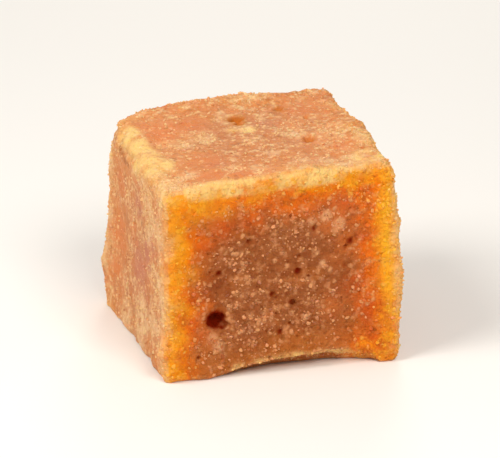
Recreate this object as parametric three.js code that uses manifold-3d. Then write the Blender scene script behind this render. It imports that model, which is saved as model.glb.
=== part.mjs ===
// A rough cube of jaggery: unrefined cane sugar, boiled down, set in a slab and cut while it is still soft.
// It is one solid. Its corners have drifted out of square, its faces are dished inside a firmer rim, its
// edges are worn and crumbly, and it carries burst bubbles as pits and stuck-on crumbs of sugar.
// Millimetres, +Z up, the front face towards -Y. The origin is on the resting surface, under the middle.
import * as THREE from 'three';
import { ImprovedNoise } from 'three/addons/math/ImprovedNoise.js';
import { mergeVertices } from 'three/addons/utils/BufferGeometryUtils.js';
import Module from 'manifold-3d';

const wasm = await Module();
wasm.setup();

// The cut block, before it drifts out of square: left to right, front to back, base to top. Its uneven base
// has then settled flat, which takes a thin layer off it.
const size = new THREE.Vector3(25.4, 24.8, 22.6);
const half = size.clone().divideScalar(2);
const settled = 0.35;

// How far each corner has moved from its true place: right, back, up. The four lower ones stay at one level.
const cornerDrift = [
  { corner: [-1, -1, -1], drift: [0.15, 0.45, 0] },
  { corner: [1, -1, -1], drift: [0.45, -0.55, 0] },
  { corner: [-1, 1, -1], drift: [-0.3, 0.05, 0] },
  { corner: [1, 1, -1], drift: [0.2, -0.1, 0] },
  { corner: [-1, -1, 1], drift: [-0.1, -0.2, -0.5] },
  { corner: [1, -1, 1], drift: [-0.35, 0.25, 0.3] },
  { corner: [-1, 1, 1], drift: [0.2, -0.15, -0.25] },
  { corner: [1, 1, 1], drift: [0, 0.15, 0.35] },
];

// Edges: a worn radius that comes and goes, and a crumbly band beside it.
const edge = { radius: 0.75, wear: 0.6, wearLength: 5, band: 2.2 };
// Where an edge or a corner is worn rounder: how much more radius, at which place, and how far that spreads.
const worn = [
  { at: [-12.7, 12.4, 11.3], extra: 2.0, spread: 4.5 },
  { at: [-12.7, 2.0, 11.3], extra: 1.4, spread: 7.0 },
  { at: [-12.7, -12.4, 4.0], extra: 0.5, spread: 5.0 },
  { at: [2.0, -12.4, -11.3], extra: 0.8, spread: 6.5 },
  { at: [12.7, 12.4, -2.0], extra: 0.9, spread: 4.0 },
  { at: [-3.0, 12.4, 11.3], extra: 0.5, spread: 5.0 },
];

// Faces: the right side swells, most of all below mid height, the top is crowned from left to right, the back
// bows from left to right, and the middle of every upright face and of the top is dished within a rim.
const swell = { right: 1.05, rightSag: 0.2, top: 0.6, back: 0.5 };
const dish = { depth: 0.45, rimStart: 0.7, rimEnd: 4.4 };

// Uneven relief over all the faces, and more of it by the edges: how high it stands, and from hump to hump.
const relief = [
  { amount: 0.3, length: 7.5 },
  { amount: 0.18, length: 3.2 },
];
const crumbliness = { amount: 0.45, length: 1.6, shift: 40 };

// Lumps of crust left standing on edges and corners: how high, at which place and how far they spread.
const lumps = [
  { at: [-12.8, 12.2, -6.5], height: 0.5, spread: 2.8 },
  { at: [-12.6, -12.2, -8.0], height: 0.5, spread: 2.2 },
  { at: [-11.6, -4.0, 11.4], height: 0.35, spread: 2.6 },
  { at: [12.6, -12.2, 10.8], height: 0.3, spread: 1.6 },
  { at: [12.7, -12.3, -2.0], height: 0.25, spread: 2.0 },
  { at: [10.8, -12.6, -8.8], height: 0.4, spread: 1.6 },
  { at: [12.6, -1.0, 11.2], height: 0.7, spread: 5.0 },
  { at: [5.4, 12.4, 11.4], height: 0.45, spread: 1.8 },
  { at: [12.6, 12.4, 6.0], height: 0.6, spread: 1.8 },
  { at: [-6.0, 12.5, -6.8], height: 0.5, spread: 1.8 },
];

// Grid squares along each side of the block, closer together near the edges.
const gridSteps = 25;
const gridCrowding = 0.5;

// Each face: its outward direction, and the two directions that places on it are given in.
const faces = {
  front: { out: [0, -1, 0], across: [1, 0, 0], up: [0, 0, 1] },
  back: { out: [0, 1, 0], across: [-1, 0, 0], up: [0, 0, 1] },
  left: { out: [-1, 0, 0], across: [0, -1, 0], up: [0, 0, 1] },
  right: { out: [1, 0, 0], across: [0, 1, 0], up: [0, 0, 1] },
  top: { out: [0, 0, 1], across: [1, 0, 0], up: [0, 1, 0] },
};

// Chips, bubbles and crumbs are uneven round pieces: how far from one hump to the next on them, and how
// finely faceted and how uneven each sort is.
const humps = { length: 1.3, shift: 7 };
const chipFinish = { detail: 4, unevenness: 0.12 };
const bubbleFinish = { detail: 1, unevenness: 0.25 };
const crumbFinish = { detail: 0, unevenness: 0.5 };

// Burst bubbles that show as holes, at their places from the middle of their face. They are a little narrower
// one way than the other.
const bubbleNarrowing = 0.9;
const bubbles = [
  { face: 'front', across: -6.9, up: -4.2, radius: 1.0, depth: 1.6 },
  { face: 'front', across: -6.1, up: -4.9, radius: 0.5, depth: 0.9 },
  { face: 'front', across: 2.1, up: 0.4, radius: 0.45, depth: 0.5 },
  { face: 'front', across: -0.7, up: -2.0, radius: 0.35, depth: 0.4 },
  { face: 'front', across: 1.45, up: -3.1, radius: 0.38, depth: 0.4 },
  { face: 'front', across: 7.25, up: 0.5, radius: 0.4, depth: 0.45 },
  { face: 'front', across: 7.95, up: 3.2, radius: 0.45, depth: 0.45 },
  { face: 'front', across: 3.9, up: 5.0, radius: 0.4, depth: 0.45 },
  { face: 'front', across: -6.6, up: 1.2, radius: 0.42, depth: 0.45 },
  { face: 'front', across: 0.2, up: -6.4, radius: 0.38, depth: 0.4 },
  { face: 'top', across: 0.5, up: 5.9, radius: 0.9, depth: 0.75 },
  { face: 'top', across: 0.4, up: 4.6, radius: 0.65, depth: 0.55 },
  { face: 'top', across: 5.8, up: 7.6, radius: 0.6, depth: 0.45 },
  { face: 'top', across: 7.75, up: 3.5, radius: 0.5, depth: 0.4 },
  { face: 'top', across: 6.35, up: -2.5, radius: 0.85, depth: 0.55 },
  { face: 'left', across: 4.2, up: 4.6, radius: 0.5, depth: 0.35 },
  { face: 'back', across: -5.2, up: 1.6, radius: 0.9, depth: 0.9 },
  { face: 'back', across: 3.4, up: -4.4, radius: 0.5, depth: 0.5 },
  { face: 'right', across: 4.6, up: 3.8, radius: 0.75, depth: 0.7 },
  { face: 'right', across: -3.5, up: -3.4, radius: 0.5, depth: 0.5 },
];

// Places where the block has broken away: middle and half sizes of what has gone, turned about its face's
// way out.
const chips = [
  { face: 'front', across: 1.5, up: -12.3, out: 13.0, size: [10.6, 3.1, 3.4], turn: 0.03 },
  { face: 'front', across: 6.4, up: -12.0, out: 13.2, size: [5.2, 3.3, 2.6], turn: 0 },
  { face: 'left', across: -4.0, up: 9.5, out: 12.9, size: [2.3, 0.45, 0.8], turn: 0 },
  { face: 'right', across: 12.6, up: -4.2, out: 14.6, size: [2.8, 4.6, 2.8], turn: 0.2 },
  { face: 'back', across: -6.5, up: 13.2, out: 13.1, size: [5.2, 2.4, 2.0], turn: 0.06 },
  { face: 'back', across: 4.2, up: -12.8, out: 13.3, size: [5.0, 2.6, 2.0], turn: -0.05 },
];

// Crumbs stuck to each face, some anywhere on it and the rest in the band by its edges. Their narrow and flat
// ways are shares of their radius, and one with less than the least seat inside the block is left off.
const crumbs = { onFace: 4, byEdge: 7, clearOfBase: 1.4, leastSeat: 0.4, seed: 41 };
const crumbForm = { radius: [0.32, 0.66], narrow: [0.7, 1], flat: [0.7, 0.9], sunk: 0.3 };
// Crumbs with a place of their own.
const placedCrumbs = [
  { face: 'front', across: 3.6, up: 6.0, radius: 0.5 },
  { face: 'front', across: 5.3, up: 6.4, radius: 0.75 },
  { face: 'front', across: 2.4, up: 5.9, radius: 0.45 },
  { face: 'front', across: 6.7, up: 5.6, radius: 0.65 },
  { face: 'front', across: 6.7, up: 4.6, radius: 0.45 },
  { face: 'front', across: 9.3, up: 3.4, radius: 0.42 },
  { face: 'front', across: -7.2, up: -6.4, radius: 0.55 },
  { face: 'front', across: -6.7, up: -7.4, radius: 0.7 },
  { face: 'front', across: -6.1, up: -8.4, radius: 0.55 },
  { face: 'front', across: -5.2, up: -3.2, radius: 0.42 },
  { face: 'front', across: 3.1, up: -4.9, radius: 0.45 },
  { face: 'front', across: 4.9, up: 1.1, radius: 0.42 },
];

const noise = new ImprovedNoise();
const wave = (p, length, shift = 0) => {
  const [x, y, z] = p.toArray().map((distance) => distance / length + shift);
  return noise.noise(x, y, z);
};
const random = () => THREE.MathUtils.seededRandom();
const smooth = THREE.MathUtils.smoothstep;
const mix = THREE.MathUtils.lerp;
const vector = (list) => new THREE.Vector3(...list);
const fading = (p, at, spread) => Math.exp(-p.distanceToSquared(vector(at)) / spread ** 2);

// The shift that the eight drifting corners share out to a place in the block, given from -1 to 1 each way.
function driftAt(share) {
  const shift = new THREE.Vector3();
  for (const { corner, drift } of cornerDrift) {
    const weight = corner.reduce((w, side, i) => w * (1 + side * share.getComponent(i)) / 2, 1);
    shift.addScaledVector(vector(drift), weight);
  }
  return shift;
}

// How far the relief stands out at a place on the cut block.
function reliefAt(flat) {
  const gaps = [0, 1, 2].map((i) => half.getComponent(i) - Math.abs(flat.getComponent(i)));
  const fromEdge = gaps.sort((a, b) => a - b)[1];
  const dished = flat.z > -half.z ? dish.depth : 0;
  let height = -dished * smooth(fromEdge, dish.rimStart, dish.rimEnd);
  for (const { amount, length } of relief) height += amount * wave(flat, length, length);
  const crumbly = crumbliness.amount * (1 - smooth(fromEdge, 0, edge.band));
  height += crumbly * wave(flat, crumbliness.length, crumbliness.shift);
  for (const lump of lumps) height += lump.height * fading(flat, lump.at, lump.spread);
  return height;
}

// Takes a point on the cube from -1 to 1 to its place on the block's surface, with the way out there.
function surfaceAt(cube) {
  const flat = cube.clone().multiply(half);
  let radius = edge.radius * (1 + edge.wear * wave(flat, edge.wearLength));
  for (const { at, extra, spread } of worn) radius += extra * fading(flat, at, spread);
  const reach = half.clone().subScalar(radius);
  const core = flat.clone().clamp(reach.clone().negate(), reach);
  const out = flat.clone().sub(core).normalize();
  const point = core.addScaledVector(out, radius);

  const share = point.clone().divide(half);
  point.add(driftAt(share));
  point.x += swell.right * Math.max(0, share.x) * (1 - share.z ** 2) * (1 - swell.rightSag * share.z);
  point.y += swell.back * Math.max(0, share.y) * (1 - share.x ** 2);
  point.z += swell.top * Math.max(0, share.z) * (1 - share.x ** 2);
  return { point: point.addScaledVector(out, reliefAt(flat)), out };
}

// The same for a place given on a face, in millimetres from its middle.
function placeOn({ face, across, up }) {
  const f = faces[face];
  const flat = vector(f.across).multiplyScalar(across).addScaledVector(vector(f.up), up).divide(half);
  return surfaceAt(flat.clampScalar(-1, 1).add(vector(f.out)));
}

// A closed solid of a geometry's triangles.
function solidOf(geometry) {
  const bare = geometry.clone().deleteAttribute('normal').deleteAttribute('uv');
  const merged = mergeVertices(bare, 1e-5);
  return new wasm.Manifold(new wasm.Mesh({
    numProp: 3,
    vertProperties: merged.attributes.position.array,
    triVerts: new Uint32Array(merged.index.array),
  }));
}

// Moves every point of a geometry by a rule.
function reshape(geometry, rule) {
  const position = geometry.attributes.position;
  const point = new THREE.Vector3();
  for (let i = 0; i < position.count; i++) {
    rule(point.fromBufferAttribute(position, i));
    position.setXYZ(i, point.x, point.y, point.z);
  }
  return geometry;
}

// The block itself: a finely divided cube, each point of it taken to the block's surface, with a flat base.
function bodySolid() {
  const crowd = (t) => {
    const step = Math.round((t + 1) * gridSteps / 2) * 2 / gridSteps - 1;
    return mix(step, Math.sin(step * Math.PI / 2), gridCrowding);
  };
  const cube = new THREE.BoxGeometry(2, 2, 2, gridSteps, gridSteps, gridSteps);
  const body = solidOf(reshape(cube, (p) => {
    p.set(crowd(p.x), crowd(p.y), crowd(p.z));
    p.copy(surfaceAt(p).point);
  }));
  const below = new THREE.BoxGeometry(2 * size.x, 2 * size.y, size.z);
  return body.subtract(solidOf(below.translate(0, 0, settled - size.z)));
}

// An uneven round piece of the given half sizes, turned and put in place.
function pebble(radii, finish, turned, at) {
  const ball = reshape(new THREE.IcosahedronGeometry(1, finish.detail), (p) => {
    const place = p.clone().multiply(radii).add(at);
    p.multiplyScalar(1 + finish.unevenness * wave(place, humps.length, humps.shift)).multiply(radii);
  });
  return solidOf(ball.applyQuaternion(turned).translate(at.x, at.y, at.z));
}

// The turn that stands a piece's third direction along the given way out, after a spin about it.
function standing(out, spin) {
  const upright = new THREE.Quaternion().setFromUnitVectors(new THREE.Vector3(0, 0, 1), out);
  return upright.multiply(new THREE.Quaternion().setFromAxisAngle(new THREE.Vector3(0, 0, 1), spin));
}

// A burst bubble: a round hole with its middle on the surface.
function bubbleSolid(bubble) {
  const { point, out } = placeOn(bubble);
  const radii = new THREE.Vector3(bubble.radius, bubble.radius * bubbleNarrowing, bubble.depth);
  return pebble(radii, bubbleFinish, standing(out, bubble.across), point);
}

// What has broken away at a chip.
function chipSolid({ face, across, up, out, size: halfSizes, turn }) {
  const f = faces[face];
  const axes = [f.across, f.up, f.out].map(vector);
  const at = new THREE.Vector3();
  [across, up, out].forEach((distance, i) => at.addScaledVector(axes[i], distance));
  const turned = new THREE.Quaternion().setFromRotationMatrix(new THREE.Matrix4().makeBasis(...axes));
  turned.multiply(new THREE.Quaternion().setFromAxisAngle(new THREE.Vector3(0, 0, 1), turn));
  return pebble(vector(halfSizes), chipFinish, turned, at);
}

// A crumb: an uneven grain, part of it sunk in the surface.
function crumbSolid(place) {
  const { point, out } = placeOn(place);
  const shares = new THREE.Vector3(1, mix(...crumbForm.narrow, random()), mix(...crumbForm.flat, random()));
  point.addScaledVector(out, -crumbForm.sunk * place.radius);
  const turned = standing(out, random() * Math.PI * 2);
  return pebble(shares.multiplyScalar(place.radius), crumbFinish, turned, point);
}

// The crumbs' places on one face, drawn at random: some anywhere, the rest in the band beside its edges.
function scatteredCrumbs(face) {
  const f = faces[face];
  const reach = [f.across, f.up].map((direction) => Math.abs(vector(direction).dot(half)));
  return Array.from({ length: crumbs.onFace + crumbs.byEdge }, (_, i) => {
    const spot = reach.map((r) => mix(-r, r, random()));
    if (i >= crumbs.onFace) {
      const way = i % 2;
      spot[way] = Math.sign(spot[way]) * (reach[way] - edge.band * random());
    }
    if (f.up[2]) spot[1] = Math.max(spot[1], crumbs.clearOfBase - half.z);
    return { face, across: spot[0], up: spot[1], radius: mix(...crumbForm.radius, random()) };
  });
}

THREE.MathUtils.seededRandom(crumbs.seed);
let block = bodySolid();
for (const chip of chips) block = block.subtract(chipSolid(chip));
for (const bubble of bubbles) block = block.subtract(bubbleSolid(bubble));
for (const place of Object.keys(faces).flatMap(scatteredCrumbs).concat(placedCrumbs)) {
  const crumb = crumbSolid(place);
  const seated = block.intersect(crumb).volume() > crumbs.leastSeat * crumb.volume();
  if (seated) block = block.add(crumb);
}

// The finished solid as a geometry, moved so that the origin is under its middle.
function geometryOf(solid) {
  const mesh = solid.getMesh();
  const geometry = new THREE.BufferGeometry();
  geometry.setAttribute('position', new THREE.BufferAttribute(mesh.vertProperties, 3));
  geometry.setIndex(new THREE.BufferAttribute(mesh.triVerts, 1));
  geometry.computeBoundingBox();
  const { min, max } = geometry.boundingBox;
  geometry.translate(-(min.x + max.x) / 2, -(min.y + max.y) / 2, -min.z);
  geometry.computeVertexNormals();
  return geometry;
}

const jaggery = new THREE.MeshStandardMaterial({ color: 0xd27a35, roughness: 0.55, metalness: 0 });
const blockMesh = new THREE.Mesh(geometryOf(block), jaggery);
blockMesh.name = 'jaggery_block';

const jaggeryBlock = new THREE.Group();
jaggeryBlock.add(blockMesh);
export default jaggeryBlock;
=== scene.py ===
# A small rough-cut block of jaggery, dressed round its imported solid.
# Everything is in metres. The front face looks towards -Y, and the block rests on the floor at z = 0.
import math

import bpy
import numpy as np
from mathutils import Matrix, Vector, noise
from mathutils.kdtree import KDTree


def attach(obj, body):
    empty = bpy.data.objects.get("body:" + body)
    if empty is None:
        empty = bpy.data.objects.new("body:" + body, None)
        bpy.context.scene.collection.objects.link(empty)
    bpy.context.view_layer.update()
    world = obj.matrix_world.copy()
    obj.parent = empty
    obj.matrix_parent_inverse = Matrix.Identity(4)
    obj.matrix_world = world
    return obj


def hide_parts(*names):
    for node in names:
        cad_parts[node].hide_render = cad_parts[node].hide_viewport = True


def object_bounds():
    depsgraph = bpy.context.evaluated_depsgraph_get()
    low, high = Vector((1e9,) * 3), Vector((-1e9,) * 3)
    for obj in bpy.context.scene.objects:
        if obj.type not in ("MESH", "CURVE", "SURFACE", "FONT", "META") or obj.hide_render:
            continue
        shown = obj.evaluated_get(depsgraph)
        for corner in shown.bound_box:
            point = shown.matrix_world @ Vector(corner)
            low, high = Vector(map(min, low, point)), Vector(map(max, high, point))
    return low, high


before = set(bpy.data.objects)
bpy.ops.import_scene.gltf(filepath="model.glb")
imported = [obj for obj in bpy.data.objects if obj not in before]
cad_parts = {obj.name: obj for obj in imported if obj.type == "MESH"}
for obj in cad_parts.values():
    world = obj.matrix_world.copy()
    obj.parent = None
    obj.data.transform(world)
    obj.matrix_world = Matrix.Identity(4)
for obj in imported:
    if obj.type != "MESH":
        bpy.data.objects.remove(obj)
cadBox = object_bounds()
mm = 0.001
cadLow, cadHigh = cadBox
middle = (cadLow + cadHigh) / 2
print("frame loaded, block", [round(v / mm, 2) for v in cadHigh - cadLow], "mm")


def selectOnly(piece):
    bpy.ops.object.select_all(action="DESELECT")
    piece.select_set(True)
    bpy.context.view_layer.objects.active = piece


def applyModifier(piece, kind, **settings):
    modifier = piece.modifiers.new(kind.title(), kind)
    for name, value in settings.items():
        setattr(modifier, name, value)
    selectOnly(piece)
    bpy.ops.object.modifier_apply(modifier=modifier.name)


def linkObject(name, data):
    made = bpy.data.objects.new(name, data)
    bpy.context.scene.collection.objects.link(made)
    return made


mergeDistance = 1e-7    # joins the loose triangles of a CAD mesh, and nothing else


def copyOfNode(nodeName, pieceName):
    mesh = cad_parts[nodeName].data.copy()
    mesh.name = pieceName
    mesh.materials.clear()
    piece = linkObject(pieceName, mesh)
    selectOnly(piece)
    bpy.ops.object.mode_set(mode="EDIT")
    bpy.ops.mesh.select_all(action="SELECT")
    bpy.ops.mesh.remove_doubles(threshold=mergeDistance)
    bpy.ops.object.mode_set(mode="OBJECT")
    return piece


def vectorsOf(piece, key):
    flat = np.empty(len(piece.data.vertices) * 3)
    piece.data.vertices.foreach_get(key, flat)
    return flat.reshape(-1, 3)


def pointsOf(piece):
    return vectorsOf(piece, "co")


def normalsOf(piece):
    return vectorsOf(piece, "normal")


def treeOf(points):
    tree = KDTree(len(points))
    for i, p in enumerate(points):
        tree.insert(p, i)
    tree.balance()
    return tree


def distancesTo(targets, points):
    tree = treeOf(targets)
    return np.array([tree.find(p)[2] for p in points])


def step(values, low, high):
    t = np.clip((values - low) / (high - low), 0, 1)
    return t * t * (3 - 2 * t)


# How far each seed moves the pattern, and what brings its values to about -1 to 1.
patchLook = {"shift": (3.1, 1.7, 2.3), "gain": 1.6}


def patches(points, size, seed):
    # soft random patches, one value for each point
    shift = Vector([seed * part for part in patchLook["shift"]])
    return np.array([noise.noise(Vector(p) / size + shift) for p in points]) * patchLook["gain"]


def uneven(points, look):
    return look["mean"] + look["swing"] * patches(points, look["patch"], look["seed"])


def setMask(piece, name, values):
    layer = piece.data.attributes.new(name, "FLOAT", "POINT")
    layer.data.foreach_set("value", np.asarray(values, dtype=np.float32))


def setGroup(piece, name, values, steps=100):
    # a vertex group in a hundred steps, which is fine enough for a displacement
    group = piece.vertex_groups.new(name=name)
    levels = np.clip(np.round(np.asarray(values) * steps), 0, steps).astype(int)
    for level in range(1, steps + 1):
        members = np.nonzero(levels == level)[0].tolist()
        if members:
            group.add(members, level / steps, "REPLACE")


# The block: its solid remeshed finely, softened, then roughened again by a given relief.
blockLook = {
    "voxel": 0.21 * mm,
    "soften": 6,
    "coarseVoxel": 0.7 * mm,
    "coarseSoften": 10,
    "softenBy": 0.5,        # how far each softening step goes
    "edgeShare": 0.8,       # where a normal's second part is over this share of its first, an edge may run
    "edgeFrom": 0.8,        # how far out of the middle edges lie, as a share of half the block
    "rimFrom": 4 * mm,      # the height above which the edges let light through
    "crumbleReach": 1.8 * mm,
    "crumble": {"mean": 0.65, "swing": 0.5, "patch": 2.5 * mm, "seed": 1},
    "grit": {"mean": 0.75, "swing": 0.4, "patch": 3 * mm, "seed": 2},
    "clearOfBase": (0.1 * mm, 1.2 * mm),    # the heights where the roughness starts and is full
    "hollowSoften": 45,     # softening steps that level the small hollows
}
# Each face: which way it looks, the two ways that places on it are given in, how many millimetres its
# middle is dished, how pale and dusty it is, the paleness being partly dust and partly a painted sheen of
# the light from above, how many pale flecks it has, how gritty it is, and how many loose grains and burst
# bubbles it has.
faceLook = {
    "front": {"way": (0, -1, 0), "across": (1, 0, 0), "up": (0, 0, 1), "dish": 0.4,
              "dustAndSheen": 0.0, "flecks": 0.4, "grit": 0.8, "grains": 0.45, "bubbles": 1.0},
    "back": {"way": (0, 1, 0), "across": (-1, 0, 0), "up": (0, 0, 1), "dish": 0.3,
             "dustAndSheen": 0.2, "flecks": 0.5, "grit": 0.8, "grains": 0.5, "bubbles": 0.9},
    "left": {"way": (-1, 0, 0), "across": (0, -1, 0), "up": (0, 0, 1), "dish": 0.3,
             "dustAndSheen": 1.0, "flecks": 0.7, "grit": 0.6, "grains": 0.7, "bubbles": 0.05},
    "right": {"way": (1, 0, 0), "across": (0, 1, 0), "up": (0, 0, 1), "dish": 0.3,
              "dustAndSheen": 0.45, "flecks": 0.6, "grit": 0.8, "grains": 0.6, "bubbles": 0.5},
    "top": {"way": (0, 0, 1), "across": (1, 0, 0), "up": (0, 1, 0), "dish": 0,
            "dustAndSheen": 1.0, "flecks": 1.0, "grit": 0.65, "grains": 1.0, "bubbles": 0.05},
    "base": {"way": (0, 0, -1), "across": (1, 0, 0), "up": (0, -1, 0), "dish": 0,
             "dustAndSheen": 0.6, "flecks": 0.3, "grit": 0.4, "grains": 0.3, "bubbles": 0.2},
}
blendPower = 4      # how sharply one face's look gives way to the next, round an edge
leastWeight = 1e-6
# The middle of the block as it was cut, which places on its faces are measured from, and half its size.
cutMiddle = Vector((-0.34, -0.02, 10.95)) * mm
cutHalf = Vector((12.7, 12.4, 11.3)) * mm


def placeOn(face, across, up):
    look = faceLook[face]
    way, acrossWay, upWay = (Vector(look[key]) for key in ("way", "across", "up"))
    out = abs(way.dot(cutHalf)) - look["dish"] * mm
    return cutMiddle + way * out + acrossWay * across * mm + upWay * up * mm


def faceBlend(normals, key):
    total = np.zeros(len(normals))
    weights = np.zeros(len(normals))
    for look in faceLook.values():
        weight = np.clip(normals @ np.array(look["way"], dtype=float), 0, 1) ** blendPower
        total += weight * look[key]
        weights += weight
    return total / np.maximum(weights, leastWeight)


def shapeOfFaces():
    # a coarse copy tells where the edges run and which way each place faces, without the crumbs
    coarse = copyOfNode("jaggery_block", "coarseCopy")
    applyModifier(coarse, "REMESH", mode="VOXEL", voxel_size=blockLook["coarseVoxel"])
    applyModifier(coarse, "SMOOTH", factor=blockLook["softenBy"], iterations=blockLook["coarseSoften"])
    points, normals = pointsOf(coarse), normalsOf(coarse)
    bpy.data.objects.remove(coarse)
    parts = np.sort(np.abs(normals), axis=1)
    outwards = np.sort(np.abs(points - np.array(cutMiddle)) / np.array(cutHalf), axis=1)
    onEdge = (parts[:, 1] > blockLook["edgeShare"] * parts[:, 2]) & (outwards[:, 1] > blockLook["edgeFrom"])
    # the edges round the foot get no painted glow of light let through, apart from their ends
    onRim = onEdge & ((points[:, 2] > blockLook["rimFrom"]) | (outwards[:, 0] > blockLook["edgeFrom"]))
    return points, normals, points[onEdge], points[onRim]


reliefLook = [
    # texture, size of its humps, strength, and the mask that holds it back
    {"kind": "CLOUDS", "size": 1.5 * mm, "strength": 0.26 * mm, "mask": "crumble"},
    {"kind": "VORONOI", "size": 0.6 * mm, "strength": -0.12 * mm, "mask": "crumble"},
    {"kind": "VORONOI", "size": 0.55 * mm, "strength": -0.1 * mm, "mask": "grit"},
    {"kind": "CLOUDS", "size": 1.4 * mm, "strength": 0.26 * mm, "mask": "grit"},
    {"kind": "CLOUDS", "size": 0.7 * mm, "strength": 0.28 * mm, "mask": "grit"},
    {"kind": "CLOUDS", "size": 0.4 * mm, "strength": 0.14 * mm, "mask": "grit"},
]


def roughen(block, points, fromEdge, masks):
    # crumbly edges and gritty faces, with a flat base
    nearEdge = 1 - step(fromEdge, 0, blockLook["crumbleReach"])
    aboveBase = step(points[:, 2], *blockLook["clearOfBase"])
    masks["crumble"] = nearEdge * uneven(points, blockLook["crumble"]) * aboveBase
    masks["grit"] = np.clip(masks["grit"] * uneven(points, blockLook["grit"]), 0, 1) * aboveBase
    for key in ("crumble", "grit"):
        setGroup(block, key, masks[key])
    for i, relief in enumerate(reliefLook):
        texture = bpy.data.textures.new(f"relief{i}", relief["kind"])
        texture.noise_scale = relief["size"]
        applyModifier(block, "DISPLACE", texture=texture, texture_coords="LOCAL", mid_level=0.5,
                      strength=relief["strength"], vertex_group=relief["mask"])


# Small burst bubbles: how many, their least and greatest radius, how deep they are as a share of it, how
# dark their painted shade is, and the distances from the rims at which they start and are in full number.
bubbleLook = {"count": 150, "radius": (0.16 * mm, 0.36 * mm), "depth": 0.8, "pitShade": 0.7,
              "clearOfRim": (2.2 * mm, 4 * mm), "seed": 12}


def burstBubbles(block, points, fromRim, masks):
    rng = np.random.default_rng(bubbleLook["seed"])
    chance = masks["bubbles"] * step(fromRim, *bubbleLook["clearOfRim"])
    picked = rng.choice(len(points), bubbleLook["count"], replace=False, p=chance / chance.sum())
    tree = treeOf(points)
    depth = np.zeros(len(points))
    for i in picked:
        radius = rng.uniform(*bubbleLook["radius"])
        for place, j, distance in tree.find_range(points[i], radius):
            depth[j] = max(depth[j], radius * (1 - (distance / radius) ** 2))
    largest = bubbleLook["radius"][1]
    burst = depth / largest
    setGroup(block, "bubbles", burst)
    applyModifier(block, "DISPLACE", mid_level=0, vertex_group="bubbles",
                  strength=-largest * bubbleLook["depth"])
    # the bubbles' pits get painted shade, darker where they are deeper
    masks["pitShade"] = np.maximum(masks["pitShade"], bubbleLook["pitShade"] * burst)


# The foot of the block, which is browner on a cut face: the heights where it starts to fade and has gone,
# and how ragged that is.
footLook = {"from": 2 * mm, "to": 6 * mm, "ragged": 1.2 * mm, "patch": 4 * mm, "seed": 3}
# Drifts of pale grains: how broad they are, how much of a finer pattern breaks them up, the values of the
# two together between which they come in, and how much some stains and the foot hold them back.
driftLook = {"broad": 3.2 * mm, "broadSeed": 5, "fine": 1.1 * mm, "fineSeed": 6, "fineShare": 0.6,
             "comesIn": (-0.15, 0.75),
             "heldBack": {"salmon": 0.8, "rosy": 0.7, "ember": 0.5, "foot": 0.4}}


def markDrifts(points, masks):
    ragged = footLook["ragged"] * patches(points, footLook["patch"], footLook["seed"])
    masks["foot"] = 1 - step(points[:, 2] + ragged, footLook["from"], footLook["to"])
    drift = patches(points, driftLook["broad"], driftLook["broadSeed"])
    drift = drift + driftLook["fineShare"] * patches(points, driftLook["fine"], driftLook["fineSeed"])
    masks["clump"] = step(drift, *driftLook["comesIn"])
    for key, share in driftLook["heldBack"].items():
        masks["clump"] *= 1 - share * masks[key]
    masks["drift"] = masks["clump"] * masks["flecks"]
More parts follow.
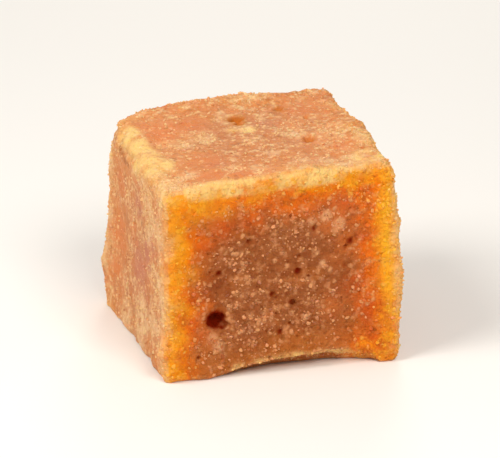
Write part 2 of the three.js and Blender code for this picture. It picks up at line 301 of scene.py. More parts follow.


# Stains, crusts and pits with a place of their own, in millimetres, with a painted glow of light let
# through the thin edges, painted shade in the pits and a painted shadow in a groove. A spot is its face,
# its place across and up, its spread and its strength; a line has two places. A sunk spot lies under the
# face by a share of its spread.
stainLook = {
    "ember": {"spots": [
        ("front", -6.2, 6.4, 1.7, 0.8), ("front", -3.2, 6.4, 1.5, 0.7), ("front", -8.0, 4.0, 1.4, 0.6),
        ("front", 7.5, 7.2, 1.9, 1.0), ("front", 9.2, 3.0, 1.4, 0.6), ("front", 8.6, -1.8, 1.6, 0.6),
        ("front", 11.0, -5.2, 2.2, 1.0), ("front", 10.5, -9.2, 2.2, 1.0), ("front", -10.0, -4.0, 1.6, 0.4),
        ("front", -8.8, -1.6, 1.3, 0.7), ("front", -8.7, -5.2, 1.3, 0.6), ("front", 7.6, 9.4, 1.6, 0.6),
    ], "lines": [
        ("front", -12.3, 8.0, -12.3, -7.0, 0.9, 0.3), ("back", -12.0, -10.0, -12.0, 10.0, 2.0, 0.35),
        ("back", 12.0, -10.0, 12.0, 10.0, 2.0, 0.35), ("back", -11.0, 10.8, 11.0, 10.8, 2.0, 0.35),
        ("right", -9.5, 10.8, 11.0, 10.8, 2.0, 0.35), ("right", -10.5, -9.0, -10.5, 9.0, 1.2, 0.3),
    ]},
    "umber": {"spots": [
        ("front", -6.8, -0.4, 2.2, 0.9), ("front", -6.0, 2.8, 1.8, 0.6), ("front", 3.2, 4.0, 1.5, 0.6),
        ("front", 2.4, 0.2, 1.8, 0.4), ("front", -4.7, -0.4, 1.5, 0.4), ("front", -3.6, -6.6, 1.6, 0.5),
        ("front", -4.2, 5.0, 1.4, 0.4), ("front", 6.8, -0.4, 1.8, 0.35), ("front", -3.0, -8.4, 2.0, 0.35),
        ("front", -8.2, 0.6, 1.5, 0.7), ("front", 10.4, -9.3, 1.8, 0.25), ("front", 11.2, -5.4, 1.8, 0.2),
    ]},
    "rust": {"spots": [
        ("front", 6.2, 6.0, 2.2, 0.9), ("front", 4.2, 6.8, 1.6, 0.7), ("front", 7.6, 3.6, 1.6, 0.8),
        ("front", 6.4, 1.8, 1.6, 0.5), ("front", 6.0, -3.9, 2.0, 0.6), ("front", 6.2, -7.4, 1.8, 0.4),
        ("front", -7.2, 7.2, 1.4, 0.4), ("front", -1.0, -4.6, 1.2, 0.4), ("front", -7.8, -6.2, 1.5, 0.5),
    ]},
    "crust": {"spots": [
        ("top", -11.3, -4.6, 1.7, 1.0), ("top", 10.8, -9.5, 2.2, 0.7), ("top", 12.0, -4.0, 1.5, 0.6),
        ("left", 0.8, 10.4, 2.0, 0.6), ("left", -4.0, 11.0, 1.5, 0.5), ("top", 0.7, 2.3, 1.1, 0.6),
        ("top", -0.9, 3.0, 0.9, 0.4),
    ], "lines": [
        ("front", -9.5, 10.6, 7.5, 11.0, 0.85, 1.0), ("top", -11.5, -2.5, -11.8, 6.8, 1.4, 0.8),
        ("front", -4.6, -10.0, 0.8, -9.4, 0.8, 0.55), ("front", 0.8, -9.4, 8.4, -9.8, 0.8, 0.7),
    ]},
    # painted glow: orange where light comes through the thin edges of the front
    "paintedGlow": {"spots": [("front", -9.8, 1.4, 1.2, 0.4)], "lines": [
        ("front", 12.0, 8.5, 12.1, -8.0, 0.9, 0.8), ("front", -9.4, 8.2, -6.6, 8.2, 1.5, 0.35),
    ]},
    "frost": {"spots": [
        ("left", 2.4, -6.6, 1.8, 1.0), ("left", 4.6, 3.2, 1.3, 0.8),
        ("top", 8.0, -10.9, 1.6, 0.6),
        ("left", 9.5, 5.0, 3.0, 0.6), ("left", 10.0, -1.5, 2.4, 0.8), ("left", 7.6, -6.0, 3.2, 0.7),
        ("left", 1.8, -8.4, 3.0, 0.9), ("left", -4.0, -9.2, 2.6, 0.7), ("left", -11.4, 6.0, 2.0, 0.8),
        ("left", -11.6, 0.0, 2.0, 0.8), ("left", -11.0, -5.0, 2.0, 0.8), ("left", 5.4, 4.4, 1.2, 0.8),
        ("left", 5.2, 6.6, 1.2, 0.7), ("left", 6.2, -4.2, 1.0, 0.7), ("left", 5.2, -6.4, 1.2, 0.8),
        ("top", 9.5, -9.0, 2.4, 0.5), ("top", -1.6, -9.0, 1.2, 0.6), ("top", -6.7, 0.2, 1.2, 0.7),
        ("top", -4.0, 1.4, 1.0, 0.5), ("top", -8.4, -7.6, 1.2, 0.8), ("top", 5.2, -0.5, 1.2, 0.7),
        ("top", 3.6, -8.6, 1.4, 0.7), ("top", 3.6, 6.3, 1.3, 0.5), ("top", 1.6, -5.3, 1.1, 0.6),
        ("top", 6.2, -9.4, 1.8, 0.6),
    ], "lines": [
        ("front", 13.1, 9.0, 13.2, -9.5, 0.9, 0.8), ("front", -12.9, 8.5, -12.9, -9.0, 0.8, 0.4),
    ]},
    "bright": {"spots": [
        ("front", 3.1, -4.9, 0.5, 1.0), ("front", 6.8, 5.4, 0.8, 1.0), ("front", 5.3, 6.4, 0.9, 0.9),
        ("front", 3.7, 5.95, 0.7, 0.8), ("front", 2.5, 5.9, 0.5, 0.6), ("front", 6.3, 4.7, 0.6, 0.7),
        ("front", 9.2, 3.4, 0.5, 0.6),
        ("front", 8.4, 7.9, 0.5, 0.5), ("front", 2.3, 7.2, 0.45, 0.5), ("front", 4.3, 2.3, 0.4, 0.7),
        ("front", 4.9, 1.05, 0.5, 0.8), ("front", 4.8, -0.75, 0.45, 0.6), ("front", 3.2, -0.65, 0.4, 0.6),
        ("front", 0.5, 2.7, 0.45, 0.6), ("front", 0.5, 4.4, 0.4, 0.5), ("front", -0.6, 5.0, 0.4, 0.5),
        ("front", -4.1, 3.1, 0.45, 0.6), ("front", -3.6, 1.8, 0.5, 0.7), ("front", -3.6, 0.1, 0.5, 0.5),
        ("front", -5.2, 0.3, 0.45, 0.6), ("front", 6.1, -2.5, 0.5, 0.5), ("front", -1.6, -4.1, 0.5, 0.6),
        ("front", -0.7, -4.7, 0.5, 0.6), ("front", -0.5, -5.5, 0.5, 0.5), ("front", -5.3, -3.1, 0.5, 0.7),
        ("front", -4.0, -5.8, 0.5, 0.6), ("front", -5.5, -4.2, 0.4, 0.6), ("front", 6.3, -5.5, 0.45, 0.5),
        ("front", -7.2, -6.3, 0.8, 0.8), ("front", -6.6, -7.3, 0.9, 0.8), ("front", -6.1, -8.3, 0.6, 0.6),
        ("front", -4.5, -5.0, 0.4, 0.5), ("front", 9.5, 1.5, 0.4, 0.4), ("left", 4.9, 6.0, 0.6, 0.6),
        ("left", 7.9, -0.2, 0.6, 0.7), ("left", 7.0, -2.4, 0.5, 0.7), ("left", 5.6, -4.4, 0.5, 0.7),
        ("left", 5.0, -0.9, 0.5, 0.6), ("top", 5.2, -0.5, 0.7, 0.8), ("top", -8.4, -7.5, 0.8, 0.8),
        ("top", -6.7, 0.3, 0.8, 0.6), ("top", 3.7, -8.6, 0.7, 0.7), ("top", -0.3, -7.7, 0.5, 0.6),
    ]},
    "rosy": {"spots": [
        ("left", 3.9, 0.8, 2.0, 1.0), ("left", 0.6, -1.6, 2.6, 1.0), ("left", 2.4, -4.2, 2.2, 0.5),
        ("left", 0.4, 5.0, 1.8, 0.7), ("left", 6.6, 2.6, 1.8, 0.6), ("top", 3.0, 3.4, 1.6, 0.5),
        ("top", -5.4, -6.4, 1.4, 0.5),
    ]},
    "salmon": {"spots": [
        ("top", -6.6, -9.6, 2.4, 0.9), ("top", -3.4, -10.4, 2.2, 0.9), ("top", -0.4, -11.0, 2.0, 0.8),
        ("top", 6.6, -3.0, 2.2, 0.6), ("top", 5.6, 2.0, 2.0, 0.6),
        ("left", -7.7, -1.0, 2.6, 1.0), ("left", -8.6, -5.4, 2.2, 0.7), ("left", -2.0, 1.2, 2.0, 0.7),
        ("left", -6.5, 5.2, 2.0, 0.7), ("top", -8.4, 5.2, 3.2, 1.0), ("top", -5.0, 5.6, 2.4, 0.7),
        ("top", 9.0, -5.5, 2.0, 0.7), ("top", -6.0, -5.0, 2.6, 0.6), ("top", 8.4, 6.4, 2.6, 0.8),
    ]},
    # a painted shadow in narrow grooves on the left face
    "grooveShadow": {"spots": [
        ("left", -6.0, 9.2, 0.6, 0.8), ("left", -5.2, 8.8, 0.6, 0.9), ("left", -4.2, 8.6, 0.6, 0.9),
        ("left", -3.2, 8.5, 0.5, 0.8), ("left", 0.9, 4.2, 0.5, 0.8), ("left", 1.2, 3.2, 0.5, 0.9),
        ("left", 2.6, 2.6, 0.5, 0.8), ("left", 4.4, 2.9, 0.4, 0.6),
    ]},
    # pits painted dark, as painted shade
    "pitShade": {"sunk": 0.5, "spots": [
        ("front", -6.9, -4.2, 1.2, 1.6), ("front", -6.1, -4.9, 0.6, 1.3), ("front", 2.1, 0.4, 0.6, 1.0),
        ("front", -0.7, -2.0, 0.45, 0.8), ("front", 1.45, -3.1, 0.5, 0.8), ("front", 7.25, 0.5, 0.5, 0.8),
        ("front", 7.95, 3.2, 0.6, 0.9), ("front", 3.9, 5.0, 0.5, 0.8), ("front", -6.6, 1.2, 0.55, 0.9),
        ("front", 0.2, -6.4, 0.5, 0.9), ("top", 0.5, 6.0, 1.5, 1.2), ("top", 0.4, 4.5, 1.0, 1.1),
        ("top", 5.8, 7.6, 1.1, 0.9), ("top", 7.75, 3.5, 0.9, 0.7), ("top", 6.35, -2.5, 1.4, 0.9),
    ]},
}


leastSquare = 1e-12     # of a line's length, so that a spot, whose two places are one, is a line too


def awayFromLine(points, start, end):
    way = end - start
    along = np.clip((points - start) @ way / max(way @ way, leastSquare), 0, 1)
    return np.linalg.norm(points - start - along[:, None] * way, axis=1)


def stainMasks(points):
    stains = {}
    for name, look in stainLook.items():
        stains[name] = np.zeros(len(points))
        spots = [(face, across, up, across, up, spread, strength)
                 for face, across, up, spread, strength in look.get("spots", [])]
        for face, across, up, toAcross, toUp, spread, strength in spots + look.get("lines", []):
            inwards = Vector(faceLook[face]["way"]) * spread * look.get("sunk", 0) * mm
            start, end = placeOn(face, across, up) - inwards, placeOn(face, toAcross, toUp) - inwards
            distance = awayFromLine(points, np.array(start), np.array(end)) / (spread * mm)
            stains[name] = np.maximum(stains[name], strength * np.exp(-distance ** 2))
    return stains


def heightOver(block):
    # how far each place stands above its softened surroundings, for painted shade in hollows and pale high
    # spots
    soft = linkObject("softCopy", block.data.copy())
    applyModifier(soft, "SMOOTH", factor=blockLook["softenBy"], iterations=blockLook["hollowSoften"])
    height = np.einsum("ij,ij->i", pointsOf(block) - pointsOf(soft), normalsOf(soft))
    bpy.data.objects.remove(soft)
    return height


# What the colour depends on, carried by the block and by every grain on it.
shadeMasks = ("dustAndSheen", "drift", "foot", "fromRim", "ember", "umber", "rust", "crust", "paintedGlow", "frost",
              "bright", "rosy", "salmon", "grooveShadow", "pitShade")


def makeBlock():
    block = copyOfNode("jaggery_block", "jaggeryBlock")
    applyModifier(block, "REMESH", mode="VOXEL", voxel_size=blockLook["voxel"])
    applyModifier(block, "SMOOTH", factor=blockLook["softenBy"], iterations=blockLook["soften"])
    points = pointsOf(block)

    coarsePoints, coarseNormals, edgePoints, rimPoints = shapeOfFaces()
    fromEdge, fromRim = distancesTo(edgePoints, points), distancesTo(rimPoints, points)
    faceTree = treeOf(coarsePoints)
    facing = coarseNormals[[faceTree.find(p)[1] for p in points]]

    masks = {key: faceBlend(facing, key) for key in ("dustAndSheen", "flecks", "grit", "grains", "bubbles")}
    masks.update(stainMasks(points))
    markDrifts(points, masks)
    roughen(block, points, fromEdge, masks)
    burstBubbles(block, points, fromRim, masks)
    masks.update(fromEdge=fromEdge / mm, fromRim=fromRim / mm, height=heightOver(block) / mm, facing=facing)
    for key in shadeMasks + ("height",):
        setMask(block, key, masks[key])
    selectOnly(block)
    bpy.ops.object.shade_smooth()
    print("block", len(block.data.polygons), "faces, relief", masks["height"].min().round(2), "to",
          masks["height"].max().round(2), "mm")
    return block, masks


# Colours in linear values. The ramps run from the edge of a face to its middle: the orange near the edge is
# partly the block's own colour and partly a painted glow of the light let through the thin edge, and the
# middle is brown on a cut face and pale on a dusty one, whose paleness is partly a painted sheen.
sugarColours = {
    "cutRamp": [
        (0.0, (0.90, 0.44, 0.13)),
        (0.035, (0.91, 0.39, 0.045)),
        (0.10, (0.95, 0.35, 0.012)),
        (0.18, (0.96, 0.30, 0.004)),
        (0.28, (0.90, 0.19, 0.002)),
        (0.40, (0.78, 0.15, 0.006)),
        (0.53, (0.56, 0.125, 0.018)),
        (0.66, (0.41, 0.11, 0.023)),
        (0.85, (0.36, 0.10, 0.025)),
    ],
    "dustAndSheenRamp": [
        (0.0, (0.87, 0.44, 0.135)),
        (0.10, (0.81, 0.37, 0.12)),
        (0.20, (0.76, 0.305, 0.10)),
        (0.40, (0.73, 0.27, 0.09)),
        (0.65, (0.69, 0.255, 0.088)),
        (1.0, (0.65, 0.24, 0.088)),
    ],
    "ember": (0.68, 0.10, 0.008, 1),
    "crust": (0.96, 0.62, 0.22, 1),
    # the painted glow of light let through the thin edges
    "paintedGlow": (1.0, 0.52, 0.025, 1),
    "rust": (0.66, 0.17, 0.036, 1),
    "rosy": (0.60, 0.205, 0.115, 1),
    "salmon": (0.75, 0.22, 0.065, 1),
    "frost": (0.90, 0.58, 0.31, 1),
    "brown": (0.26, 0.055, 0.010, 1),
    "amber": (0.70, 0.20, 0.03, 1),
    "cream": (0.95, 0.64, 0.32, 1),
    "tan": (0.79, 0.35, 0.145, 1),
    "umber": (0.30, 0.065, 0.013, 1),
    "foot": (0.48, 0.135, 0.020, 1),
    "honey": (0.95, 0.43, 0.03, 1),
    "copper": (0.72, 0.18, 0.010, 1),
    "russet": (0.46, 0.145, 0.04, 1),
    "gold": (0.58, 0.17, 0.025, 1),
    "bright": (0.92, 0.50, 0.25, 1),
    "hollowShade": (0.20, 0.009, 0.001, 1),
}
# Cells, one to a sugar grain: how far their edges wander, as a share of a cell, how many waves of that go
# to a cell and how detailed they are, how soft the edges are, and how much smaller the grain in some cells
# is.
cellLook = {"wander": 0.6, "waves": 0.7, "detail": 3.0, "softness": 0.3, "smaller": 0.35}


class Shading:
    # a little help to wire nodes in the order in which they're read
    def __init__(self, name):
        self.material = bpy.data.materials.new(name)
        self.material.use_nodes = True
        self.tree = self.material.node_tree
        self.shader = self.tree.nodes["Principled BSDF"]
        self.coords = self.tree.nodes.new("ShaderNodeTexCoord").outputs["Object"]

    def node(self, kind, inputs, **settings):
        made = self.tree.nodes.new(kind)
        for name, value in settings.items():
            setattr(made, name, value)
        for name, value in inputs.items():
            if isinstance(value, bpy.types.NodeSocket):
                self.tree.links.new(value, made.inputs[name])
            else:
                made.inputs[name].default_value = value
        return made

    def mask(self, name):
        return self.node("ShaderNodeAttribute", {}, attribute_name=name).outputs["Fac"]

    def fit(self, value, low, high, toLow=0.0, toHigh=1.0):
        inputs = {"Value": value, "From Min": low, "From Max": high, "To Min": toLow, "To Max": toHigh}
        return self.node("ShaderNodeMapRange", inputs, interpolation_type="SMOOTHSTEP").outputs[0]

    def noise(self, size, low, high, detail=3.0, roughness=0.55):
        inputs = {"Vector": self.coords, "Scale": 1 / size, "Detail": detail, "Roughness": roughness}
        return self.fit(self.node("ShaderNodeTexNoise", inputs).outputs["Fac"], low, high)

    def grains(self, size):
        # a random tone from 0 to 1 for each cell, and how far its middle is
        inputs = {"Vector": self.coords, "Scale": cellLook["waves"] / size, "Detail": cellLook["detail"]}
        wander = self.node("ShaderNodeTexNoise", inputs).outputs["Color"]
        inputs = {0: wander, 1: (0.5, 0.5, 0.5)}    # a noise is about a half on average
        wander = self.node("ShaderNodeVectorMath", inputs, operation="SUBTRACT").outputs[0]
        inputs = {0: wander, "Scale": cellLook["wander"] * size}
        wander = self.node("ShaderNodeVectorMath", inputs, operation="SCALE").outputs[0]
        moved = self.node("ShaderNodeVectorMath", {0: self.coords, 1: wander}).outputs[0]
        inputs = {"Vector": moved, "Scale": 1 / size, "Smoothness": cellLook["softness"]}
        cell = self.node("ShaderNodeTexVoronoi", inputs, feature="SMOOTH_F1")
        randoms = self.node("ShaderNodeSeparateColor", {"Color": cell.outputs["Color"]}).outputs
        # a middle that seems farther than it is makes a smaller grain
        farther = self.math("MULTIPLY", randoms[1], cellLook["smaller"])
        return randoms[0], self.math("ADD", cell.outputs["Distance"], farther)

    def math(self, operation, a, b):
        made = self.node("ShaderNodeMath", {0: a, 1: b}, operation=operation)
        return made.outputs[0]

    def mix(self, factor, a, b, share=1.0):
        if share < 1:
            factor = self.math("MULTIPLY", factor, share)
        made = self.node("ShaderNodeMix", {0: factor, 6: a, 7: b}, data_type="RGBA")
        return made.outputs[2]

    def ramp(self, value, stops):
        made = self.node("ShaderNodeValToRGB", {"Fac": value})
        elements = made.color_ramp.elements
        while len(elements) < len(stops):
            elements.new(1.0)
        for element, (place, colour) in zip(elements, stops):
            element.position = place
            element.color = (*colour, 1)
        return made.outputs[0]

    def bump(self, height, strength, depth):
        made = self.node("ShaderNodeBump", {"Strength": strength, "Distance": depth, "Height": height})
        self.join(made.outputs[0], "Normal")

    def join(self, output, socket):
        self.tree.links.new(output, self.shader.inputs[socket])

    def setSockets(self, sockets):
        for name, value in sockets.items():
            self.shader.inputs[name].default_value = value


# How the colour is laid on. A pattern comes in from a low to a high value of its noise. A share is how much
# of a colour shows where it shows most.
paintLook = {
    "rampReach": 8.0,           # how many millimetres from the rim the ramps end
    "raggedBy": 0.8,            # how many millimetres their steps wander
    "ragged": {"size": 2.4 * mm, "low": 0.25, "high": 0.75, "detail": 4},
    "rimToMiddle": (0.15, 0.5),     # where on the ramps the rim's tones give way to those of the middle
    "amber": {"size": 3.4 * mm, "low": 0.54, "high": 0.7, "detail": 2},
    "amberShare": 0.3,
    "dark": {"size": 1.3 * mm, "low": 0.5, "high": 0.7},
    "darkShare": 0.5,
    "pale": {"size": 1.0 * mm, "low": 0.5, "high": 0.7},
    "paleShare": 0.6,
    "smoothSalmon": (0, 0.6, 1.0, 0.2),     # dark and pale blotches fade from 1.0 to 0.2 as salmon comes in
    "broken": {"size": 1.6 * mm, "low": 0.3, "high": 0.6, "detail": 4},
    "footShare": 0.8,
    "driftShare": 0.25,
    "grainsOnDustAndSheen": 0.8,        # how much of the grains' own tones shows on a dusty face
}
# The stains, and the painted glow of light let through the thin edges, in the order in which they cover
# each other: from which to which value of its mask each comes in, whether its outline is broken, and its
# share.
stainPaint = [
    {"mask": "paintedGlow", "share": 1.0},
    {"mask": "ember", "broken": True, "share": 1.0},
    {"mask": "umber", "broken": True, "share": 1.0},
    {"mask": "rust", "comesIn": (0, 1), "share": 0.9},
    {"mask": "rosy", "comesIn": (0, 1), "share": 0.9},
    {"mask": "salmon", "comesIn": (0, 1), "share": 0.85},
    {"mask": "frost", "comesIn": (0.1, 0.9), "broken": True, "share": 0.9},
    {"mask": "crust", "comesIn": (0.1, 0.55), "broken": True, "share": 0.92},
]


def sugarColour(s):
    colours, look = sugarColours, paintLook
    # the pale top and left faces: partly dust and partly a painted sheen of the light from above
    dustAndSheen = s.mask("dustAndSheen")

    # the ramps by the distance from the rim, made ragged
    ragged = s.fit(s.noise(**look["ragged"]), 0, 1, -look["raggedBy"], look["raggedBy"])
    inwards = s.math("DIVIDE", s.math("ADD", s.mask("fromRim"), ragged), look["rampReach"])
    colour = s.mix(dustAndSheen, s.ramp(inwards, colours["cutRamp"]), s.ramp(inwards, colours["dustAndSheenRamp"]))
    inMiddle = s.fit(inwards, *look["rimToMiddle"])
    pale = s.mix(dustAndSheen, s.mix(inMiddle, colours["honey"], colours["tan"]), colours["cream"])
    dark = s.mix(dustAndSheen, s.mix(inMiddle, colours["copper"], colours["brown"]), colours["russet"])

    # soft mottling, from broad patches down to blotches as large as a few grains
    colour = s.mix(s.noise(**look["amber"]), colour, colours["amber"], look["amberShare"])
    mottled = s.fit(s.mask("salmon"), *look["smoothSalmon"])
    colour = s.mix(s.math("MULTIPLY", s.noise(**look["dark"]), mottled), colour, dark, look["darkShare"])
    colour = s.mix(s.math("MULTIPLY", s.noise(**look["pale"]), mottled), colour, pale, look["paleShare"])

    # the foot of the cut faces, then the placed stains and the painted glow
    foot = s.math("MULTIPLY", s.math("MULTIPLY", s.mask("foot"), s.fit(dustAndSheen, 1, 0)), inMiddle)
    colour = s.mix(foot, colour, colours["foot"], look["footShare"])
    broken = s.noise(**look["broken"])
    for stain in stainPaint:
        shown = s.mask(stain["mask"])
        if "comesIn" in stain:
            shown = s.fit(shown, *stain["comesIn"])
        if stain.get("broken"):
            shown = s.math("MULTIPLY", shown, broken)
        colour = s.mix(shown, colour, colours[stain["mask"]], stain["share"])
    colour = s.mix(s.mask("drift"), colour, pale, look["driftShare"])
    return colour, pale, dark


def grainsShown(s):
    return s.fit(s.mask("dustAndSheen"), 0, 1, 1.0, paintLook["grainsOnDustAndSheen"])


# Grains in the surface, in two layers: how large they are, over which tone from 0 to 1 they start to turn
# pale, and the share of that.
layerLook = [
    {"size": 0.6 * mm, "paleFrom": 0.68, "share": 0.8},
    {"size": 0.3 * mm, "paleFrom": 0.8, "share": 0.65},
]
domeLook = {
    "foot": 0.75,           # how far from the middle of its cell a grain starts to rise
    "crown": 0.3,           # and how near to the middle it is full
    "drift": 0.4,           # what a drift adds to the tone, so that more grains there are pale
    "paleWithin": 0.25,     # how much more tone makes a grain fully pale
    "darkBelow": 0.3,       # the tone under which a grain starts to turn dark
    "darkShare": 0.6,
}


def grainLayer(s, layer, colour, pale, dark):
    tone, fromMiddle = s.grains(layer["size"])
    dome = s.math("MULTIPLY", s.fit(fromMiddle, domeLook["foot"], domeLook["crown"]), grainsShown(s))
    likely = s.math("ADD", tone, s.fit(s.mask("drift"), 0, 1, 0.0, domeLook["drift"]))
    turnsPale = s.fit(likely, layer["paleFrom"], layer["paleFrom"] + domeLook["paleWithin"])
    turnsDark = s.fit(tone, domeLook["darkBelow"], 0.0)
    colour = s.mix(s.math("MULTIPLY", turnsPale, dome), colour, pale, layer["share"])
    darkShare = domeLook["darkShare"] * layer["share"]
    colour = s.mix(s.math("MULTIPLY", turnsDark, dome), colour, dark, darkShare)
    return colour, dome


# The block's surface: what is laid over the grains, from which to which value of its mask, and how rough it
# is. The masks of heights and of the distance from the rim are in millimetres.
jaggeryLook = {
    "highSpots": (0.04, 0.2),
    "highShare": 0.35,
    "shadedHollows": (-0.14, -0.34),
    "hollowShadeShare": 0.7,
    "hollowShadeFromRim": (1, 3),
    "bright": (0.2, 0.9),
    "brightShare": 0.65,
    "grooveShadow": (0.15, 0.8),
    "grooveShadowShare": 0.85,
    "pitShade": (0.25, 0.9),
    "pitShadeShare": 0.98,
    "fine": {"size": 0.2 * mm, "low": 0, "high": 1, "detail": 4, "roughness": 0.62},
    "fineRelief": 0.8,              # beside the larger grains, which count for 1
    "smallRelief": 0.5,
    "bumpStrength": 1.0,
    "bumpDepth": 0.13 * mm,
    "roughness": (0.3, 0.7, 0.4, 0.65),     # from 0.4 to 0.65 as the fine noise goes from 0.3 to 0.7
    "shine": (0.1, 0.6, 0.1, 0.0),          # from 0.1 to none as a pit's painted shade goes from 0.1 to 0.6
    "sockets": {"Subsurface Weight": 0.3, "Subsurface Radius": (1.0, 0.35, 0.1),
                "Subsurface Scale": 0.3 * mm},
}


def jaggeryMaterial():
    s = Shading("jaggery")
    colours, look = sugarColours, jaggeryLook
    colour, pale, dark = sugarColour(s)
    domes = []
    for layer in layerLook:
        colour, dome = grainLayer(s, layer, colour, pale, dark)
        domes.append(dome)

    # pale high spots, painted shade in the hollows, then the marks that cover the grains, with a painted
    # shadow in the groove and painted shade in the pits
    height = s.mask("height")
    colour = s.mix(s.fit(height, *look["highSpots"]), colour, pale, look["highShare"])
    # painted shade darkens the hollows, away from the rims
    offRim = s.fit(s.mask("fromRim"), *look["hollowShadeFromRim"])
    hollowShade = s.math("MULTIPLY", s.fit(height, *look["shadedHollows"]), offRim)
    colour = s.mix(hollowShade, colour, dark, look["hollowShadeShare"])
    colour = s.mix(s.fit(s.mask("bright"), *look["bright"]), colour, colours["bright"], look["brightShare"])
    # the painted shadow in the grooves of the left face
    colour = s.mix(s.fit(s.mask("grooveShadow"), *look["grooveShadow"]), colour, colours["russet"], look["grooveShadowShare"])
    # pits painted dark as painted shade: near black on cut faces, gold on the dusty ones
    pitShade = s.mask("pitShade")
    pit = s.mix(s.mask("dustAndSheen"), colours["hollowShade"], colours["gold"])
    s.join(s.mix(s.fit(pitShade, *look["pitShade"]), colour, pit, look["pitShadeShare"]), "Base Color")

    fine = s.noise(**look["fine"])
    relief = s.math("ADD", domes[0], s.math("MULTIPLY", domes[1], look["smallRelief"]))
    relief = s.math("ADD", relief, s.math("MULTIPLY", fine, look["fineRelief"]))
    s.bump(relief, look["bumpStrength"], look["bumpDepth"])
    s.join(s.fit(fine, *look["roughness"]), "Roughness")
    s.join(s.fit(pitShade, *look["shine"]), "Specular IOR Level")
    s.setSockets(look["sockets"])
    return s.material


# Loose grains take the colour of their place, made paler or browner by a tint of their own.
looseLook = {
    "paleShare": {"sugarGrain": 0.9, "sugarCrumb": 0.5},
    "darkShare": 0.6,
    "fineSize": 0.12 * mm,
    "bumpStrength": 0.25,
    "bumpDepth": 0.03 * mm,
    "sockets": {"Roughness": 0.32, "Specular IOR Level": 0.4, "Subsurface Weight": 0.4,
                "Subsurface Radius": (1.0, 0.45, 0.15), "Subsurface Scale": 0.4 * mm},
}


def grainMaterial(name):
    s = Shading(name)
    tint, shown = s.mask("tint"), grainsShown(s)
    colour, pale, dark = sugarColour(s)
    paleShare = looseLook["paleShare"][name]
    colour = s.mix(s.math("MULTIPLY", s.fit(tint, 0, 1), shown), colour, pale, paleShare)
    colour = s.mix(s.math("MULTIPLY", s.fit(tint, 0, -1), shown), colour, dark, looseLook["darkShare"])
    s.join(colour, "Base Color")
    inputs = {"Vector": s.coords, "Scale": 1 / looseLook["fineSize"]}
    fine = s.node("ShaderNodeTexNoise", inputs).outputs["Fac"]
    s.bump(fine, looseLook["bumpStrength"], looseLook["bumpDepth"])
    s.setSockets(looseLook["sockets"])
    return s.material


# The shapes of the grains. Each is modelled once, one unit across, and copied over the block at its real
# size.
grainShapes = {
    "chunk": {"stretch": (1.0, 0.85, 0.75), "shake": 0.09, "cut": (0.3, (0.7, 0.2, 0.5)), "seed": 3},
    "sliver": {"stretch": (1.35, 0.6, 0.5), "shake": 0.07, "cut": (0.32, (0.2, 0.6, 0.6)), "seed": 8},
    "crystal": {"stretch": (1.0, 0.9, 0.9), "shake": 0.12, "cut": (0.22, (-0.4, 0.5, 0.7)), "seed": 5},
}


def makeGrainShape(name):
    look = grainShapes[name]
    bpy.ops.object.select_all(action="DESELECT")
    bpy.ops.mesh.primitive_ico_sphere_add(subdivisions=1, radius=0.5)
    shape = bpy.context.object
    shape.name = name
    bpy.ops.object.mode_set(mode="EDIT")
    bpy.ops.mesh.select_all(action="SELECT")
    bpy.ops.transform.resize(value=look["stretch"])
    bpy.ops.transform.vertex_random(offset=look["shake"], uniform=1.0, seed=look["seed"])
    offset, way = look["cut"]
    way = Vector(way).normalized()
    bpy.ops.mesh.bisect(plane_co=way * offset, plane_no=way, use_fill=True, clear_outer=True)
    bpy.ops.mesh.select_all(action="SELECT")
    bpy.ops.mesh.quads_convert_to_tris()
    bpy.ops.mesh.normals_make_consistent(inside=False)
    bpy.ops.object.mode_set(mode="OBJECT")
    points = pointsOf(shape)
    faces = np.array([p.vertices[:] for p in shape.data.polygons])
    bpy.data.objects.remove(shape)
    return points, faces


# How every kind of grain is strewn: how many places are tried for each grain, how low it may lie, how much
# smaller it is on a dusty face, and how much deeper some sit, as a share of their width.
strewLook = {"tries": 8, "lowest": 0.35 * mm, "smallerOnDustAndSheen": 0.25, "deeper": 0.25}


def spotsOn(block, masks, look, chance):
    # random places all over the block, by area, each kept by its chance
    rng = np.random.default_rng(look["seed"])
    mesh = block.data
    mesh.calc_loop_triangles()
    corners = np.empty(len(mesh.loop_triangles) * 3, dtype=int)
    mesh.loop_triangles.foreach_get("vertices", corners)
    corners = corners.reshape(-1, 3)
    points = pointsOf(block)
    a, b, c = (points[corners[:, i]] for i in range(3))
    area = np.linalg.norm(np.cross(b - a, c - a), axis=1)
    picked = rng.choice(len(corners), look["most"] * strewLook["tries"], p=area / area.sum())
    share = rng.dirichlet((1, 1, 1), len(picked))
    spots = np.einsum("ij,ijk->ik", share, points[corners[picked]])
    corner = corners[picked, 0]
    kept = rng.random(len(picked)) < chance(spots, {key: value[corner] for key, value in masks.items()})
    kept &= spots[:, 2] > strewLook["lowest"]
    return spots[kept][:look["most"]], corner[kept][:look["most"]], rng


def randomTurns(rng, count):
    # rotations from random quaternions
    turn = rng.normal(size=(count, 4))
    turn /= np.linalg.norm(turn, axis=1, keepdims=True)
    w, x, y, z = turn.T
    return np.stack([
        1 - 2 * (y * y + z * z), 2 * (x * y - z * w), 2 * (x * z + y * w),
        2 * (x * y + z * w), 1 - 2 * (x * x + z * z), 2 * (y * z - x * w),
        2 * (x * z - y * w), 2 * (y * z + x * w), 1 - 2 * (x * x + y * y),
    ], axis=1).reshape(-1, 3, 3)


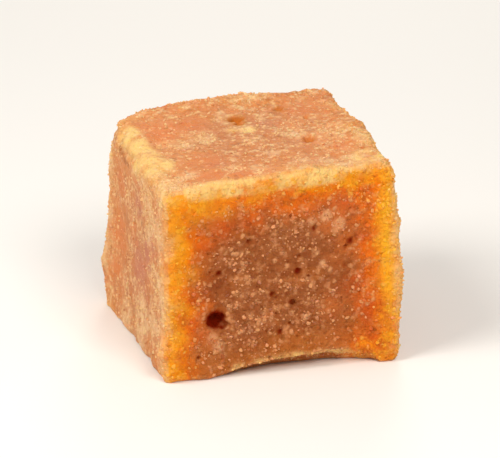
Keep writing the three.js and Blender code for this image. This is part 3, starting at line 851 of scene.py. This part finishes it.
def scatter(name, block, masks, look, chance):
    spots, corner, rng = spotsOn(block, masks, look, chance)
    shapePoints, shapeFaces = makeGrainShape(look["shape"])
    count, size = len(spots), len(shapePoints)
    turns = randomTurns(rng, count)
    low, high = look["size"]
    smaller = 1 - strewLook["smallerOnDustAndSheen"] * masks["dustAndSheen"][corner]
    width = low * (high / low) ** (rng.random(count) ** look["bias"]) * smaller
    above = width * (look["proud"] - strewLook["deeper"] * rng.random(count))
    place = spots + masks["facing"][corner] * above[:, None]
    points = np.einsum("nij,vj->nvi", turns, shapePoints) * width[:, None, None] + place[:, None]
    faces = shapeFaces[None] + (np.arange(count) * size)[:, None, None]
    mesh = bpy.data.meshes.new(name)
    mesh.from_pydata(points.reshape(-1, 3).tolist(), [], faces.reshape(-1, 3).tolist())
    piece = linkObject(name, mesh)
    tint = np.clip(rng.normal(*look["tint"], size=count), -1, 1)
    setMask(piece, "tint", np.repeat(tint, size))
    for key in shadeMasks:
        setMask(piece, key, np.repeat(masks[key][corner], size))
    print(name, count, "grains,", len(mesh.polygons), "faces")
    return piece


# Sugar grains in loose drifts on the faces, one piece for each shape of grain, and crumbs along the edges.
# There are fewer than the most if too few places keep one, as with the crumbs. The size runs from the least
# to the greatest width, and a larger bias makes more of them small. Proud is how high a grain stands at
# most, as a share of its width. The tint is its middle and its spread, from browner (-1) to paler (1) than
# the place where the grain lies.
grainLook = {
    "sugarGrains": {"shape": "chunk", "most": 3800, "size": (0.2 * mm, 0.72 * mm), "bias": 1.6,
                    "proud": 0.06, "tint": (0.25, 0.5), "seed": 21},
    "sugarSlivers": {"shape": "sliver", "most": 2400, "size": (0.22 * mm, 0.66 * mm), "bias": 1.6,
                     "proud": 0.08, "tint": (0.4, 0.45), "seed": 22},
    "sugarCrystals": {"shape": "crystal", "most": 2000, "size": (0.18 * mm, 0.55 * mm), "bias": 1.3,
                      "proud": 0.1, "tint": (0.7, 0.35), "seed": 23},
}
# How likely a place on a face is to keep a grain: outside the drifts, on salmon, on a bright mark and on
# frost, and the values past which a pit has too much painted shade, and past which it is too deep, for one.
grainChances = {"outside": 0.12, "salmonHolds": 0.8, "bright": 0.8, "frost": 0.6,
                "pitShade": 0.1, "deep": -0.12}
crumbLook = {"shape": "chunk", "most": 4500, "size": (0.16 * mm, 0.52 * mm), "bias": 1.8,
             "proud": 0.08, "tint": (0.4, 0.45), "seed": 33}
# Crumbs lie within a reach of the edges, in millimetres, and on thick crust, in patches.
crumbChances = {"reach": 0.75, "crustOver": 0.25, "least": 0.05,
                "patches": {"mean": 0.55, "swing": 0.8, "patch": 1.8 * mm, "seed": 6}}


def grainChance(spots, masks):
    look = grainChances
    inDrift = look["outside"] + (1 - look["outside"]) * masks["clump"]
    loose = inDrift * masks["grains"] * (1 - look["salmonHolds"] * masks["salmon"])
    placed = np.maximum(look["bright"] * np.sqrt(masks["bright"]), look["frost"] * masks["frost"])
    clearOfPits = (masks["pitShade"] < look["pitShade"]) & (masks["height"] > look["deep"])
    return np.maximum(loose, placed) * clearOfPits


def crumbChance(spots, masks):
    nearEdge = np.exp(-((masks["fromEdge"] / crumbChances["reach"]) ** 2))
    onCrust = np.clip(masks["crust"] - crumbChances["crustOver"], 0, 1)
    patchy = np.clip(uneven(spots, crumbChances["patches"]), crumbChances["least"], 1)
    return np.maximum(nearEdge, onCrust) * patchy


block, masks = makeBlock()
block.data.materials.append(jaggeryMaterial())
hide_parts("jaggery_block")
pieces = [(block, "jaggery")]
grainPaint = grainMaterial("sugarGrain")
for name, look in grainLook.items():
    grains = scatter(name, block, masks, look, grainChance)
    grains.data.materials.append(grainPaint)
    pieces.append((grains, "sugar_crust"))
crumbs = scatter("edgeCrumbs", block, masks, crumbLook, crumbChance)
crumbs.data.materials.append(grainMaterial("sugarCrumb"))
pieces.append((crumbs, "sugar_crust"))
for piece, slotName in pieces:
    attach(piece, "root")

# Studio: a pale floor, a soft key light from the upper left, a fill from above the front, and a weak light
# from behind on the right.
studioLook = {
    "floorSize": 1.2,
    "floorColour": (0.93, 0.92, 0.90, 1),
    "floorRoughness": 0.7,
    "worldColour": (1.0, 0.98, 0.95, 1),
    "worldStrength": 0.34,
}
lightLook = {
    "key": {"from": (-0.19, -0.05, 0.23), "size": 0.15, "watts": 0.53, "colour": (1.0, 0.96, 0.9)},
    "fill": {"from": (0.03, -0.22, 0.24), "size": 0.14, "watts": 0.48, "colour": (1.0, 0.96, 0.9)},
    "back": {"from": (0.10, 0.26, 0.14), "size": 0.12, "watts": 0.2, "colour": (1.0, 0.93, 0.84)},
}


def makeStudio():
    bpy.ops.object.select_all(action="DESELECT")
    bpy.ops.mesh.primitive_plane_add(size=studioLook["floorSize"], location=(0, 0, 0))
    floor = bpy.context.object
    floor.name = "floor"
    paint = bpy.data.materials.new("paleFloor")
    paint.use_nodes = True
    shader = paint.node_tree.nodes["Principled BSDF"]
    shader.inputs["Base Color"].default_value = studioLook["floorColour"]
    shader.inputs["Roughness"].default_value = studioLook["floorRoughness"]
    floor.data.materials.append(paint)

    world = bpy.data.worlds.new("studio")
    world.use_nodes = True
    background = world.node_tree.nodes["Background"]
    background.inputs["Color"].default_value = studioLook["worldColour"]
    background.inputs["Strength"].default_value = studioLook["worldStrength"]
    bpy.context.scene.world = world

    for name, look in lightLook.items():
        lamp = bpy.data.lights.new(name, "AREA")
        lamp.shape = "DISK"
        lamp.size = look["size"]
        lamp.energy = look["watts"]
        lamp.color = look["colour"]
        light = linkObject(name, lamp)
        light.location = look["from"]
        light.rotation_euler = (middle - light.location).to_track_quat("-Z", "Y").to_euler()


# The camera looks down on the block from the left of its front.
cameraLook = {"azimuth": -16.1, "elevation": 22.0, "distance": 0.495, "lens": 328, "clipStart": 0.01}


def makeCamera():
    turn, rise = math.radians(cameraLook["azimuth"]), math.radians(cameraLook["elevation"])
    back = Vector((math.sin(turn) * math.cos(rise), -math.cos(turn) * math.cos(rise), math.sin(rise)))
    camera = linkObject("camera", bpy.data.cameras.new("camera"))
    camera.data.lens = cameraLook["lens"]
    camera.data.clip_start = cameraLook["clipStart"]
    camera.location = middle + back * cameraLook["distance"]
    camera.rotation_euler = back.to_track_quat("Z", "Y").to_euler()
    bpy.context.scene.camera = camera


makeStudio()
makeCamera()
bpy.context.scene.view_settings.view_transform = "Standard"
print("studio and camera made")
